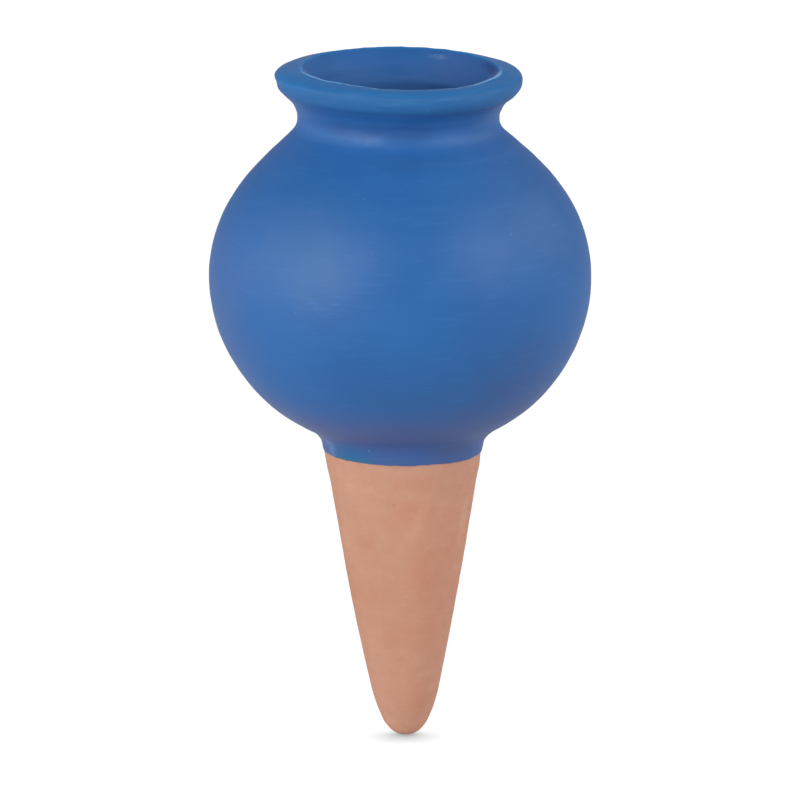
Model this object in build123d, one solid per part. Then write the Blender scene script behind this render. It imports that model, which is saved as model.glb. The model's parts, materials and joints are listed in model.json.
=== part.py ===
from build123d import *
import os
from math import acos, atan2, degrees, radians, tan

# A self watering spike: a painted terracotta globe with a flared filling neck, on a bare porous spike.
# Every piece is turned about Z, in millimetres, so each one is drawn as half a section and revolved.
# Z is 0 at the soil line, where the paint ends and the bare clay of the spike begins.

# Porous spike
spike_length = 76.0           # soil line down to the tip
spike_root_radius = 20.2      # flank at the soil line
spike_shoulder_radius = 8.8   # where the flank turns into the blunt nose
nose_height = 13.0            # tip up to that turn
nose_breadth = 5.2            # how far the nose leaves the tip level
nose_rise = 3.9               # how far the nose follows the flank below the turn
flank_bulge = 0.55            # swell of the flank over a straight line
spike_wall = 4.0
tip_wall = 6.5

# Reservoir globe
globe_radius = 49.75
equator_height = 46.6         # soil line up to the widest place
upper_curve_radius = 39.0     # the upper half is rounder than the lower one
shoulder_angle = 45.0         # rise of the shoulder cone over level, in degrees
globe_wall = 4.5
collar_height = 5.3           # soil line up to where the underside meets the spike
collar_fillet = 7.0           # clay smoothed into that corner

# Flared neck and lip
neck_radius = 26.25           # waist of the neck
neck_wall = 5.0
waist_round = 5.2
waist_land = 1.0              # straight stretch between the two rounds of the waist
flare_angle = 47.0            # lean of the flare away from the axis, in degrees
lip_reach = 5.9               # how far the lip stands out past the waist
lip_under_round = 4.8
lip_land = 0.1                # straight stretch of the lip's edge
lip_top_round = 1.4
lip_width = 5.9               # lip's edge in to its crest
lip_fall = 12.0               # fall of the lip's top outward from the crest, in degrees
crest_round = 0.7
throat_round = 6.0
throat_land = 5.0             # straight stretch of the throat

# Joints of the three clay pieces, luted with slip before firing
slip_thickness = 0.4
spigot_height = 2.0           # tongue on the spike's rim, inside the globe's foot hole
spigot_thickness = 2.0
neck_joint_drop = 4.0         # neck joint below the waist's lower corner

# Paint
paint_thickness = 0.25
mouth_paint_depth = 15.0      # crest down to the end of the paint in the throat

# Radii that follow from these
lip_radius = neck_radius + lip_reach
throat_radius = neck_radius - neck_wall
painted_radius = max(globe_radius, lip_radius) + paint_thickness


def corner_run(turn, radius):
    """Length that a round of this radius takes from each side of a corner that turns this much."""
    return radius * tan(radians(turn / 2))


def climb(run, angle):
    """Height gained over a level run on a slope of this many degrees."""
    return run * tan(radians(angle))


def spike_edges(wall, bottom_wall, top):
    """Half outline of the spike, set in by a wall, from its tip to a height over the soil line."""
    tip = Vector(0, bottom_wall - spike_length)
    shoulder = Vector(spike_shoulder_radius - wall, tip.Y + nose_height)
    root = Vector(spike_root_radius - wall, 0)
    flank = SagittaArc(shoulder, root, -flank_bulge)
    breadth = nose_breadth * shoulder.X / spike_shoulder_radius
    nose = Bezier(tip, tip + Vector(breadth, 0), shoulder - (flank % 0) * nose_rise, shoulder)
    lean = flank % 1
    return [nose, flank, Line(root, root + lean * (top / lean.Y))]


def half_section(edges):
    """Face between a run of edges that starts on the axis, and the axis."""
    first = edges[0] @ 0
    last = edges[-1] @ 1
    return make_face(edges + Polyline(last, (0, last.Y), first).edges())


def zone(low, high, radius=painted_radius):
    """Half section of a plain cylinder, from a low to a high level."""
    return Polygon((0, low), (radius, low), (radius, high), (0, high), align=None)


# The globe's lower curve runs from the spike's collar to a plumb tangent at the equator.
collar = spike_edges(0, 0, collar_height)[-1] @ 1
lower_drop = equator_height - collar_height
lower_reach = globe_radius - collar.X
lower_curve_radius = (lower_drop**2 + lower_reach**2) / (2 * lower_reach)
lower_centre = Vector(globe_radius - lower_curve_radius, equator_height)
upper_centre = Vector(globe_radius - upper_curve_radius, equator_height)
lower_sweep = degrees(atan2(lower_drop, collar.X - lower_centre.X))
upper_sweep = 90 - shoulder_angle

# Outer outline of the whole clay body
lower_curve = CenterArc(lower_centre, lower_curve_radius, -lower_sweep, lower_sweep)
upper_curve = CenterArc(upper_centre, upper_curve_radius, 0, upper_sweep)
shoulder_top = upper_curve @ 1
waist_low = Vector(neck_radius, shoulder_top.Y + climb(shoulder_top.X - neck_radius, shoulder_angle))
waist_run = corner_run(upper_sweep, waist_round) + waist_land + corner_run(flare_angle, waist_round)
waist_high = waist_low + Vector(0, waist_run)
lip_low = waist_high + Vector(lip_reach, climb(lip_reach, 90 - flare_angle))
lip_run = corner_run(flare_angle, lip_under_round) + lip_land + corner_run(90 - lip_fall, lip_top_round)
lip_high = lip_low + Vector(0, lip_run)
crest = lip_high + Vector(-lip_width, climb(lip_width, lip_fall))
neck_outline = FilletPolyline(
    shoulder_top, waist_low, waist_high, lip_low, lip_high, crest,
    radius=[waist_round, waist_round, lip_under_round, lip_top_round],
)
form = half_section(
    spike_edges(0, 0, collar_height) + [lower_curve, upper_curve] + neck_outline.edges()
)
collar_corner = form.vertices().sort_by_distance(collar)[0]
form = fillet(collar_corner, collar_fillet)

# Hollow: the spike's bore, the reservoir and the filling throat, which opens past the lip
bore = half_section(spike_edges(spike_wall, tip_wall, equator_height))
bore_rim = spike_edges(spike_wall, tip_wall, collar_height)[-1] @ 1
hollow_radius = lower_curve_radius - globe_wall
floor_start = bore_rim.X / 2  # the reservoir's floor opens into the bore, so its curve starts in there
floor_sweep = degrees(acos((floor_start - lower_centre.X) / hollow_radius))
lower_hollow = CenterArc(lower_centre, hollow_radius, -floor_sweep, floor_sweep)
upper_hollow = CenterArc(upper_centre, upper_curve_radius - globe_wall, 0, upper_sweep)
floor_edge = lower_hollow @ 0
hollow_top = upper_hollow @ 1
throat_low = Vector(throat_radius, hollow_top.Y + climb(hollow_top.X - throat_radius, shoulder_angle))
throat_high = throat_low + Vector(0, corner_run(upper_sweep, throat_round) + throat_land)
throat_outline = FilletPolyline(hollow_top, throat_low, throat_high, radius=[throat_round])
mouth_curve = TangentArc(throat_high, crest, tangent=(0, 1))
mouth_exit = crest + (mouth_curve % 1) * lip_width
hollow = half_section(
    [Line((0, floor_edge.Y), floor_edge), lower_hollow, upper_hollow]
    + throat_outline.edges()
    + [mouth_curve, Line(crest, mouth_exit)]
)
cavity = bore + hollow
bottom = -spike_length
top = mouth_exit.Y

# Clay body with its crest eased
clay = form - cavity
crest_corner = clay.vertices().sort_by_distance(crest)[0]
clay = fillet(crest_corner, crest_round)

# The spike's rim carries a tongue inside the globe's foot hole; the neck sits on a level joint.
spigot_radius = bore_rim.X + spigot_thickness
neck_joint = waist_low.Y - neck_joint_drop


def below_spike_joint(gap):
    """Everything under the stepped joint of the spike, raised by a gap."""
    rim = zone(bottom, collar_height + gap)
    spigot = zone(bottom, collar_height + spigot_height + gap, spigot_radius + gap)
    return rim + spigot


spike_zone = below_spike_joint(0)
spike_slip_zone = below_spike_joint(slip_thickness) - spike_zone
globe_zone = zone(bottom, neck_joint) - below_spike_joint(slip_thickness)
neck_slip_zone = zone(neck_joint, neck_joint + slip_thickness)
neck_zone = zone(neck_joint + slip_thickness, top)

# Paint skin from the soil line over the lip and down into the throat.
# The clay is cut below the soil line first, so that the skin round the cut end falls away.
painted_clay = clay & zone(-collar_height, top)
skin = offset(painted_clay, paint_thickness, kind=Kind.ARC) - painted_clay
outer_paint = (skin - cavity) & zone(0, top)
mouth_paint = (skin & cavity) & zone(crest.Y - mouth_paint_depth, top)

sections = {
    "porous_spike": clay & spike_zone,
    "spike_luting_ring": clay & spike_slip_zone,
    "reservoir_globe": clay & globe_zone,
    "neck_luting_ring": clay & neck_slip_zone,
    "flared_neck": clay & neck_zone,
    "outer_paint_coat": outer_paint,
    "mouth_paint_coat": mouth_paint,
}

os.makedirs("parts", exist_ok=True)
for name, section in sections.items():
    piece = revolve(Plane.XZ * section, axis=Axis.Z)
    piece.label = name
    export_step(piece, f"parts/{name}.step")
    print(f"{name}: {len(piece.solids())} solid, {piece.volume / 1000:.2f} cm3")

print(f"height {crest.Y + spike_length:.1f} mm, widest {2 * painted_radius:.1f} mm")
throat_start = throat_high.Y - throat_land
print(f"painted throat radius {throat_radius - paint_thickness:.2f} mm")
print(f"straight throat from {throat_start:.2f} to {throat_high.Y:.2f} mm")
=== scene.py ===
# %% [markdown]
# # A self watering spike in clay and paint
# The object is a hollow clay globe with a flared filling neck, painted blue, on a bare porous spike.
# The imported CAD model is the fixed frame: it says where each piece is and how large it is.
# The CAD nodes could be dressed as they are, but a hand-made pot is never so true. So here every piece
# is turned again as a mesh with the marks of the hand on it, and gets its finish.

# %% Load the CAD frame
import json
import math

import bpy
import numpy as np
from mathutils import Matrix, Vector


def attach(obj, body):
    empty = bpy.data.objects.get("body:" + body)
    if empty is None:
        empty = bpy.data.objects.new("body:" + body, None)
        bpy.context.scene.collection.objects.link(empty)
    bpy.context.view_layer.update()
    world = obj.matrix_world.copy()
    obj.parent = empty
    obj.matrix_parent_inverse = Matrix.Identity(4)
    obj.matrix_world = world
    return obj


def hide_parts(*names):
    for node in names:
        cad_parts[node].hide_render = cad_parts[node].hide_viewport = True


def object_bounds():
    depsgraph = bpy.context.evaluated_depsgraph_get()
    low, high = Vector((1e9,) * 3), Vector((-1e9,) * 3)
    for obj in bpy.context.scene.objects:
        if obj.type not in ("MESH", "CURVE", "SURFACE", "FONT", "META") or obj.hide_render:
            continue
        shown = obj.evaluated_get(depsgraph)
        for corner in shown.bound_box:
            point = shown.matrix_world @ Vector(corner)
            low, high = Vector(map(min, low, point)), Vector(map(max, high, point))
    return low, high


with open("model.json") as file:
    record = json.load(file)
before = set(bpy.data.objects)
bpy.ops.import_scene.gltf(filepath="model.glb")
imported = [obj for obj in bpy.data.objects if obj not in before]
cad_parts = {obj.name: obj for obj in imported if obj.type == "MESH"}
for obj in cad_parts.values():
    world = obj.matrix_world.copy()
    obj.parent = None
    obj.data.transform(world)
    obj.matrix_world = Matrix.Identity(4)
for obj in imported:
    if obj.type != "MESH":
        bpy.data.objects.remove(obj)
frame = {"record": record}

cad_low, cad_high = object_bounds()
MM = 0.001
print("CAD box in mm:", [round(extent / MM, 1) for extent in cad_high - cad_low])

# %% [markdown]
# ## Camera
# The lip, the paint line and the globe are ellipses of one and the same flatness in the photograph.
# That is a long lens from far away, looking down by the angle whose sine is the flatness.
# A camera with perspective at five metres gives it, and other views can still move that camera.

# %% Place the camera
camera_elevation = math.radians(11.5)
camera_distance = 5.0
frame_width = 0.2094                      # metres of the object's plane across the image
aim = Vector((0.0, 0.0, 0.01333))         # the place on the axis in the middle of the image

camera_data = bpy.data.cameras.new("long_lens")
camera_data.lens = camera_data.sensor_width * camera_distance / frame_width
camera = bpy.data.objects.new("camera", camera_data)
view_back = Vector((0.0, -math.cos(camera_elevation), math.sin(camera_elevation)))
camera.location = aim + camera_distance * view_back
camera.rotation_euler = view_back.to_track_quat("Z", "Y").to_euler()
bpy.context.scene.collection.objects.link(camera)
bpy.context.scene.camera = camera
print(f"lens {camera_data.lens:.0f} mm, looking down {math.degrees(camera_elevation):.1f} degrees")

# %% [markdown]
# ## Sizes of the pot
# A potter works from a few sizes: the widest place, the waist, the lip and the spike.
# These are the named sizes of the CAD source, in millimetres, with Z at 0 on the soil line, so the pieces
# fall on the CAD solids. Reading them off the CAD boxes would not give the rounds and the slopes.
# Only the collar is drawn tighter than in the solid, as the photograph shows it, and so the joint of the
# spike has a level of its own. All other departures are marks of the hand, and small.

# %% Named sizes, in millimetres
spike_length = 76.0
spike_root_radius = 20.2
spike_shoulder_radius = 8.8
nose_height, nose_breadth, nose_rise = 13.0, 5.2, 3.9
flank_bulge = 0.55
spike_wall, tip_wall = 4.0, 6.5

globe_radius = 49.75
equator_height = 46.6
upper_curve_radius = 39.0
shoulder_angle = 45.0
globe_wall = 4.5
collar_height, collar_fillet = 4.7, 4.5   # the solid has a wider fillet, a little higher up

neck_radius, neck_wall = 26.25, 5.0
waist_round, waist_land = 5.2, 1.0
flare_angle = 47.0
lip_reach, lip_width, lip_fall, lip_land = 5.9, 5.9, 12.0, 0.1
lip_under_round, lip_top_round, crest_round = 4.8, 1.4, 0.7
throat_round, throat_land = 6.0, 5.0

slip_thickness = 0.4
spike_rim = 5.3                           # joint of the spike, over the soil line
spigot_height, spigot_thickness = 2.0, 2.0
neck_joint_drop = 4.0
paint_thickness, mouth_paint_depth = 0.25, 15.0
print(f"globe {2 * globe_radius:.1f} mm across the clay, spike {spike_length:.0f} mm long")

# %% [markdown]
# ## Drawing an outline
# A turned pot is one line spun round an axis, so the work is in that line.
# It could be a curve object, but a line of points is easier to cut at the joints and to thicken into paint.
# It is drawn from arcs, straight runs and rounded corners, and then spread into even steps.

# %% Ways to draw a line of points
DENSE = 160                               # points on each arc or run before the line is spread evenly
SHARES = np.linspace(0, 1, DENSE)[:, None]


def unit(vector):
    """Vector of length one in the same direction."""
    return np.asarray(vector, float) / np.linalg.norm(vector)


def right_of(direction):
    """Direction turned a quarter to the right: away from the clay on a line that runs up its outside."""
    return np.array([direction[1], -direction[0]])


def arc(centre, radius, start, stop):
    """Points along a circular arc, between two angles in degrees."""
    angles = np.radians(np.linspace(start, stop, DENSE))
    return np.asarray(centre) + radius * np.column_stack([np.cos(angles), np.sin(angles)])


def bezier(*controls):
    """Points along a Bezier curve, by drawing its controls together."""
    rows = [np.asarray(control, float) for control in controls]
    while len(rows) > 1:
        rows = [first + (second - first) * SHARES for first, second in zip(rows, rows[1:])]
    return rows[0]


def corner_run(turn, radius):
    """Length that a round of this radius takes from each side of a corner that turns this much."""
    return radius * math.tan(math.radians(turn / 2))


def climb(run, angle):
    """Height gained over a level run on a slope of this many degrees."""
    return run * math.tan(math.radians(angle))


print(f"{DENSE} points to an arc; a slope of 45 degrees climbs {climb(10, 45):.0f} mm over 10 mm")


# %% Rounded corners, even steps and cuts at a level
def rounded(corners, radii):
    """Points along straight runs whose inner corners are rounded."""
    corners = [np.asarray(corner, float) for corner in corners]
    line = [corners[:1]]
    for before, corner, after, radius in zip(corners, corners[1:], corners[2:], radii):
        back = unit(before - corner)
        onward = unit(after - corner)
        half = math.acos(np.clip(back @ onward, -1, 1)) / 2
        centre = corner + unit(back + onward) * radius / math.sin(half)
        spokes = [corner + way * radius / math.tan(half) - centre for way in (back, onward)]
        turn = math.pi - 2 * half
        blend = np.sin((1 - SHARES) * turn) * spokes[0] + np.sin(SHARES * turn) * spokes[1]
        line.append(centre + blend / math.sin(turn))
    return np.vstack(line + [corners[-1:]])


def evenly(line, spacing):
    """The same line with points about a spacing apart."""
    steps = np.linalg.norm(np.diff(line, axis=0), axis=1)
    along = np.concatenate([[0], np.cumsum(steps)])
    wanted = np.linspace(0, along[-1], max(2, round(along[-1] / spacing) + 1))
    return np.column_stack([np.interp(wanted, along, line[:, axis]) for axis in (0, 1)])


def between(line, low, high):
    """Part of a rising line between two levels, with its ends cut there."""
    inside = line[(line[:, 1] > low) & (line[:, 1] < high)]
    ends = [[np.interp(cut, line[:, 1], line[:, 0]), cut] for cut in (low, high)]
    return np.vstack([ends[:1], inside, ends[1:]])


square_corner = rounded([(0, 0), (10, 0), (10, 10)], [4.0])
print(f"a square corner with a round: {len(evenly(square_corner, 1.0))} points a millimetre apart")

# %% [markdown]
# ## The spike
# The spike is a hollow cone with a blunt nose, so that it goes into the soil without breaking.
# A cone with a half ball would show a seam; here the flank has a slight swell and runs on into the nose,
# which is a Bezier curve. The bore inside is the same line set in by the wall.

# %% Outline of the spike
def spike_line(wall, bottom_wall):
    """Outline of the spike set in by a wall, up to the soil line, and the way it leans there."""
    tip = np.array([0, bottom_wall - spike_length])
    shoulder = np.array([spike_shoulder_radius - wall, tip[1] + nose_height])
    root = np.array([spike_root_radius - wall, 0])
    chord = root - shoulder
    swell = 4 * flank_bulge * right_of(unit(chord))
    flank = shoulder + SHARES * chord + SHARES * (1 - SHARES) * swell
    breadth = nose_breadth * shoulder[0] / spike_shoulder_radius
    nose_end = shoulder - unit(chord + swell) * nose_rise
    nose = bezier(tip, tip + [breadth, 0], nose_end, shoulder)
    return np.vstack([nose[:-1], flank]), unit(chord - swell)


spike_outside, flank_lean = spike_line(0, 0)
spike_root = spike_outside[-1]
collar = spike_root + flank_lean * collar_height / flank_lean[1]
print(f"the spike meets the globe at radius {collar[0]:.1f} mm")

# %% [markdown]
# ## The globe and its collar
# The globe is not a ball: its upper half is rounder and its lower half runs down steeply to the spike.
# Two arcs that share an upright tangent at the widest place give that. Where the globe meets the spike
# a finger smoothed clay into the corner, which is a round that touches the flank and the lower arc.

# %% Outline of the globe, with clay smoothed into the collar
lower_reach = globe_radius - collar[0]
lower_drop = equator_height - collar_height
lower_radius = (lower_drop**2 + lower_reach**2) / (2 * lower_reach)
lower_centre = np.array([globe_radius - lower_radius, equator_height])
upper_centre = np.array([globe_radius - upper_curve_radius, equator_height])

flank_side = right_of(flank_lean)
to_fillet = spike_root + flank_side * collar_fillet - lower_centre
along_lean = to_fillet @ flank_lean
fillet_reach = lower_radius + collar_fillet
slide = -along_lean - math.sqrt(along_lean**2 - to_fillet @ to_fillet + fillet_reach**2)
fillet_centre = lower_centre + to_fillet + flank_lean * slide
fillet_start = math.degrees(math.atan2(-flank_side[1], -flank_side[0]))
to_globe = unit(fillet_centre - lower_centre)
fillet_end = math.degrees(math.atan2(-to_globe[1], -to_globe[0]))
collar_round = arc(fillet_centre, collar_fillet, fillet_start % 360, fillet_end % 360)
lower_start = math.degrees(math.atan2(to_globe[1], to_globe[0]))
upper_sweep = 90 - shoulder_angle
globe_outside = np.vstack([
    arc(lower_centre, lower_radius, lower_start, 0),
    arc(upper_centre, upper_curve_radius, 0, upper_sweep)[1:],
])
print(f"globe: lower arc of radius {lower_radius:.1f} mm, upper arc of radius {upper_curve_radius:.1f} mm")

# %% [markdown]
# ## The neck, the lip and the hollow
# The neck is pinched to a waist and then thrown outward into a rolled lip, which guides the water in.
# It is a run of straight stretches with rounded corners, the way a potter's rib shapes it.
# The hollow follows inside at the thickness of the wall and opens into the mouth in one arc.

# %% Outline of the neck and lip
shoulder_top = globe_outside[-1]
waist_low = np.array([neck_radius, shoulder_top[1] + climb(shoulder_top[0] - neck_radius, shoulder_angle)])
waist_run = corner_run(upper_sweep, waist_round) + waist_land + corner_run(flare_angle, waist_round)
waist_high = waist_low + [0, waist_run]
lip_low = waist_high + [lip_reach, climb(lip_reach, 90 - flare_angle)]
lip_run = corner_run(flare_angle, lip_under_round) + lip_land + corner_run(90 - lip_fall, lip_top_round)
lip_high = lip_low + [0, lip_run]
crest = lip_high + [-lip_width, climb(lip_width, lip_fall)]
neck_outside = rounded(
    [shoulder_top, waist_low, waist_high, lip_low, lip_high, crest],
    [waist_round, waist_round, lip_under_round, lip_top_round],
)
print(f"crest at {crest[1]:.1f} mm, waist radius {neck_radius} mm, lip radius {lip_high[0]:.2f} mm")

# %% Outline of the hollow
throat_radius = neck_radius - neck_wall
upper_hollow = arc(upper_centre, upper_curve_radius - globe_wall, 0, upper_sweep)
hollow_top = upper_hollow[-1]
throat_low = np.array([throat_radius, hollow_top[1] + climb(hollow_top[0] - throat_radius, shoulder_angle)])
throat_high = throat_low + [0, corner_run(upper_sweep, throat_round) + throat_land]
throat = rounded([hollow_top, throat_low, throat_high], [throat_round])
mouth_step = crest - throat_high
mouth_radius = (mouth_step @ mouth_step) / (2 * mouth_step[0])
mouth_sweep = 2 * math.degrees(math.atan2(*mouth_step))
mouth = arc(throat_high + [mouth_radius, 0], mouth_radius, 180, 180 - mouth_sweep)

bore, bore_lean = spike_line(spike_wall, tip_wall)
bore_slope = bore_lean[0] / bore_lean[1]
floor_angle = -89                         # degrees: the floor's arc starts nearly straight down, in the bore
lower_hollow = arc(lower_centre, lower_radius - globe_wall, floor_angle, 0)
past_bore = lower_hollow[:, 0] > bore[-1, 0] + bore_slope * lower_hollow[:, 1]
print(f"throat radius {throat_radius:.2f} mm, mouth arc of radius {mouth_radius:.1f} mm")

# %% The crest is eased where the lip's top meets the mouth
mouth_heading = np.array([math.sin(math.radians(mouth_sweep)), math.cos(math.radians(mouth_sweep))])
lip_heading = unit(crest - lip_high)
crest_sides = [crest - lip_heading * lip_width / 2, crest, crest - mouth_heading * lip_width / 2]
crest_arc = rounded(crest_sides, [crest_round])[1:-1]
crest_top = int(np.argmax(crest_arc[:, 1]))
crest_level = crest_arc[crest_top, 1]
outer_crest = crest_arc[:crest_top + 1]
inner_crest = crest_arc[crest_top:][::-1]
neck_outside = np.vstack([neck_outside[:-1], outer_crest])
mouth = np.vstack([mouth[mouth[:, 1] < inner_crest[0, 1]], inner_crest])
outside = np.vstack([spike_outside[:-1], collar_round, globe_outside[1:], neck_outside[1:]])
inside = np.vstack([bore, lower_hollow[past_bore], upper_hollow[1:], throat[1:], mouth[1:]])
print(f"crest eased to {crest_level:.2f} mm, radius {crest_arc[crest_top, 0]:.2f} mm")

# %% [markdown]
# ## Sections of the seven pieces
# The real pot is luted together with slip from a spike, a globe and a neck, and then painted.
# Cutting finished meshes apart would leave ragged joints. Instead each piece is a half section of its own:
# a loop of points round its wall, or a run from the axis back to the axis.
# The paint is the clay's own line moved outward by its thickness, so it follows every curve.

# %% Steps of the mesh along each line
show_step = 0.55                          # on faces that the eye sees, in millimetres
lip_step, crest_step = 0.25, 0.11         # on the lip and over its crest, whose rounds are small
throat_step = 0.75                        # on the clay of the mouth, behind its paint
hidden_step = 2.2                         # inside the walls and the hollow
lip_level = waist_high[1]
print(f"steps of {show_step} mm on the wall, and of {lip_step} mm from {lip_level:.1f} mm up, on the lip")


def rising(line, low, high, spacing):
    """Evenly spaced part of a rising line between two levels."""
    return evenly(between(line, low, high), spacing)


def clay_outside(low, high):
    """Outside of the clay between two levels, in finer steps on the lip."""
    if high <= lip_level:
        return rising(outside, low, high, show_step)
    below = rising(outside, low, lip_level, show_step)
    lip = rising(outside, lip_level, outer_crest[0, 1], lip_step)
    return np.vstack([below, lip[1:], evenly(outer_crest, crest_step)[1:]])


def mouth_wall(low, spacing):
    """Inside of the mouth from a low level to the crest, in finer steps over the crest."""
    below = rising(inside, low, inner_crest[0, 1], spacing)
    return np.vstack([below, evenly(inner_crest, crest_step)[1:]])


# %% Half sections of the clay pieces and the slip between them
spigot_top = spike_rim + spigot_height
bore_rim = bore[-1, 0] + bore_slope * spike_rim
spigot_radius = bore_rim + spigot_thickness
neck_joint = waist_low[1] - neck_joint_drop
gap = slip_thickness
tongue = np.array([[spigot_radius, spike_rim], [spigot_radius, spigot_top]])
socket = tongue + gap

hollow_of_spike = rising(inside, bore[0, 1], spigot_top, hidden_step)[::-1]
hollow_of_globe = rising(inside, spigot_top + gap, neck_joint, hidden_step)[::-1]
hollow_of_neck = mouth_wall(neck_joint + gap, throat_step)[::-1]
slip_bore = rising(inside, spigot_top, spigot_top + gap, hidden_step)[::-1]

sections = {
    "porous_spike": [clay_outside(-spike_length, spike_rim), tongue, hollow_of_spike],
    "spike_luting_ring": [clay_outside(spike_rim, spike_rim + gap), socket, slip_bore, tongue[::-1]],
    "reservoir_globe": [clay_outside(spike_rim + gap, neck_joint), hollow_of_globe, socket[::-1]],
    "neck_luting_ring": [
        clay_outside(neck_joint, neck_joint + gap),
        rising(inside, neck_joint, neck_joint + gap, hidden_step)[::-1],
    ],
    "flared_neck": [clay_outside(neck_joint + gap, crest_level), hollow_of_neck[1:]],
}

for name, level in (("spike", spike_rim), ("neck", neck_joint)):
    print(f"joint of the {name} at {level:.1f} mm, with {slip_thickness} mm of slip")

# %% Half sections of the two coats of paint
def coat(line, thickness):
    """The line moved to its right by a thickness."""
    ahead = np.gradient(line, axis=0)
    ahead /= np.linalg.norm(ahead, axis=1)[:, None]
    return line + thickness * np.column_stack([ahead[:, 1], -ahead[:, 0]])


painted_outside = clay_outside(0, crest_level)
painted_mouth = mouth_wall(crest[1] - mouth_paint_depth, lip_step)[::-1]
painted_line = np.vstack([painted_outside, painted_mouth[1:]])
painted_face = coat(painted_line, paint_thickness)
painted_face[0, 1] = 0
parting = len(painted_outside)
back_stride = 4


def back_of(line):
    """Back of a coat, out of sight: some points of the clay's line, from its last to its first."""
    return np.vstack([line[:0:-back_stride], line[:1]])


sections["outer_paint_coat"] = [painted_face[:parting], back_of(painted_line[:parting])]
sections["mouth_paint_coat"] = [painted_face[parting - 1:], back_of(painted_line[parting - 1:])]
for name, runs in sections.items():
    print(f"{name}: {sum(len(run) for run in runs)} rings")

# %% [markdown]
# ## Marks of the hand
# No two of these pots are alike: the axis leans, the lip is a little tilted and pinched, its crest is ragged
# and the paint ends in a line that wanders. Sculpting each piece by hand would part the paint from the clay.
# So each ring of a piece carries how much of each mark it takes, and clay, slip and paint move together.

# %% How far the axis drifts and the wall swells at each height, in millimetres
axis_drift = [
    (-77, 1.50), (-47, 1.20), (-33, 1.03), (-3, 0.72), (-0.5, 0.62), (2.6, 0.72), (5.6, 0.74), (7.2, 0.46),
    (12, 0.34), (20, 0.25), (34, 0.08), (47, 0.0), (64, 0.04), (77, 0.0), (82, -0.22), (85, -0.46),
    (89, -0.50), (92.3, -0.56), (94.4, -0.86), (96, -0.69), (98, -0.30), (110, -0.20),
]
wall_swell = [
    (-77, 0.80), (-75.4, 0.72), (-73.2, 0.55), (-70, 0.28), (-66, 0.14), (-55, 0.14), (-20, 0.0),
    (-9, 0.03), (-3, 0.35), (2.0, 0.38), (4.5, 0.38), (6.7, -0.76), (14, -0.42), (40, -0.03), (68, -0.15),
    (78, 0.26), (81.5, 0.02), (84.3, -0.21), (86.5, -0.12), (89, -0.13), (91.5, 0.14), (94.3, -0.29),
    (96, -0.13), (99, -0.14), (110, -0.14),
]
tilt_start, tilt_end = 84.0, 97.0         # the lip leans over above the waist
print(f"the axis drifts by up to {max(abs(drift) for height, drift in axis_drift):.1f} mm")


def eased(share):
    """Smooth step of a share from 0 to 1."""
    share = np.clip(share, 0, 1)
    return share * share * (3 - 2 * share)


def eased_along(stops, heights):
    """A mark given at a few heights, eased from one to the next."""
    values = np.zeros_like(heights)
    for (low, start), (high, end) in zip(stops, stops[1:]):
        here = (heights >= low) & (heights < high)
        values[here] = start + (end - start) * eased((heights[here] - low) / (high - low))
    return values


# %% How much of each mark a ring takes
crest_fade, lip_fade, edge_fade = 2.5, 2.8, 2.5  # millimetres over which a mark fades
rim_core, rim_fade = 0.33, 0.55           # the worn rim with its painted highlight, on each side of the crest
mouth_fade = 0.9                          # the lip's paint goes over into the mouth's
lip_coat_start, lip_coat_rise = 94.4, 2.2  # the lip was painted once more from this height up
lip_top_start, lip_top_rise = 0.35, 0.9   # the lip's top, painted lighter against its shade, begins so far below its upper corner


def ring_marks(points, in_mouth=False):
    """How much of each mark every ring of a section takes."""
    heights = points[:, 1]
    from_crest = np.linalg.norm(points - crest, axis=1)
    from_lip = np.linalg.norm(points - lip_high, axis=1)
    from_parting = np.linalg.norm(points - crest_arc[crest_top], axis=1)
    inward = eased((from_parting - paint_thickness) / mouth_fade) * in_mouth
    return {
        "drift": eased_along(axis_drift, heights) * MM,
        "swell": eased_along(wall_swell, heights) * MM,
        "tilt": eased((heights - tilt_start) / (tilt_end - tilt_start)),
        "crest": np.clip(1 - from_crest / crest_fade, 0, 1),
        "lip": eased(1 - from_lip / lip_fade),
        "paint_edge": np.clip(1 - np.abs(heights) / edge_fade, 0, 1),
        "rim": np.clip(1 - (from_parting - rim_core) / rim_fade, 0, 1),
        "lip_coat": eased((heights - lip_coat_start) / lip_coat_rise) * (1 - inward),
        "lip_top_painted_light": eased((heights - lip_high[1] + lip_top_start) / lip_top_rise) * (1 - inward),
        "mouth": inward,
    }


mark_names = list(ring_marks(crest_arc))
print(f"{len(mark_names)} marks on every ring: {', '.join(mark_names)}")

# %% [markdown]
# ## The potter's wheel
# Turning follows one rule, so Geometry Nodes does it: a grid takes one column for each step round the axis
# and one row for each ring of the section. Spin in mesh code would do as well, but here the steps, the wobble
# and the other marks are named inputs, and every piece goes through the same tree.

# %% One function that adds a node
def add_node(tree, kind, inputs=None, **settings):
    """Add a node, set its properties, and give its sockets values, or links from a node or a socket."""
    node = tree.nodes.new(kind)
    for setting, value in settings.items():
        setattr(node, setting, value)
    for socket_name, value in (inputs or {}).items():
        if isinstance(value, bpy.types.Node):
            value = value.outputs[0]
        if isinstance(value, bpy.types.NodeSocket):
            tree.links.new(value, node.inputs[socket_name])
        else:
            node.inputs[socket_name].default_value = value
    return node


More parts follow.
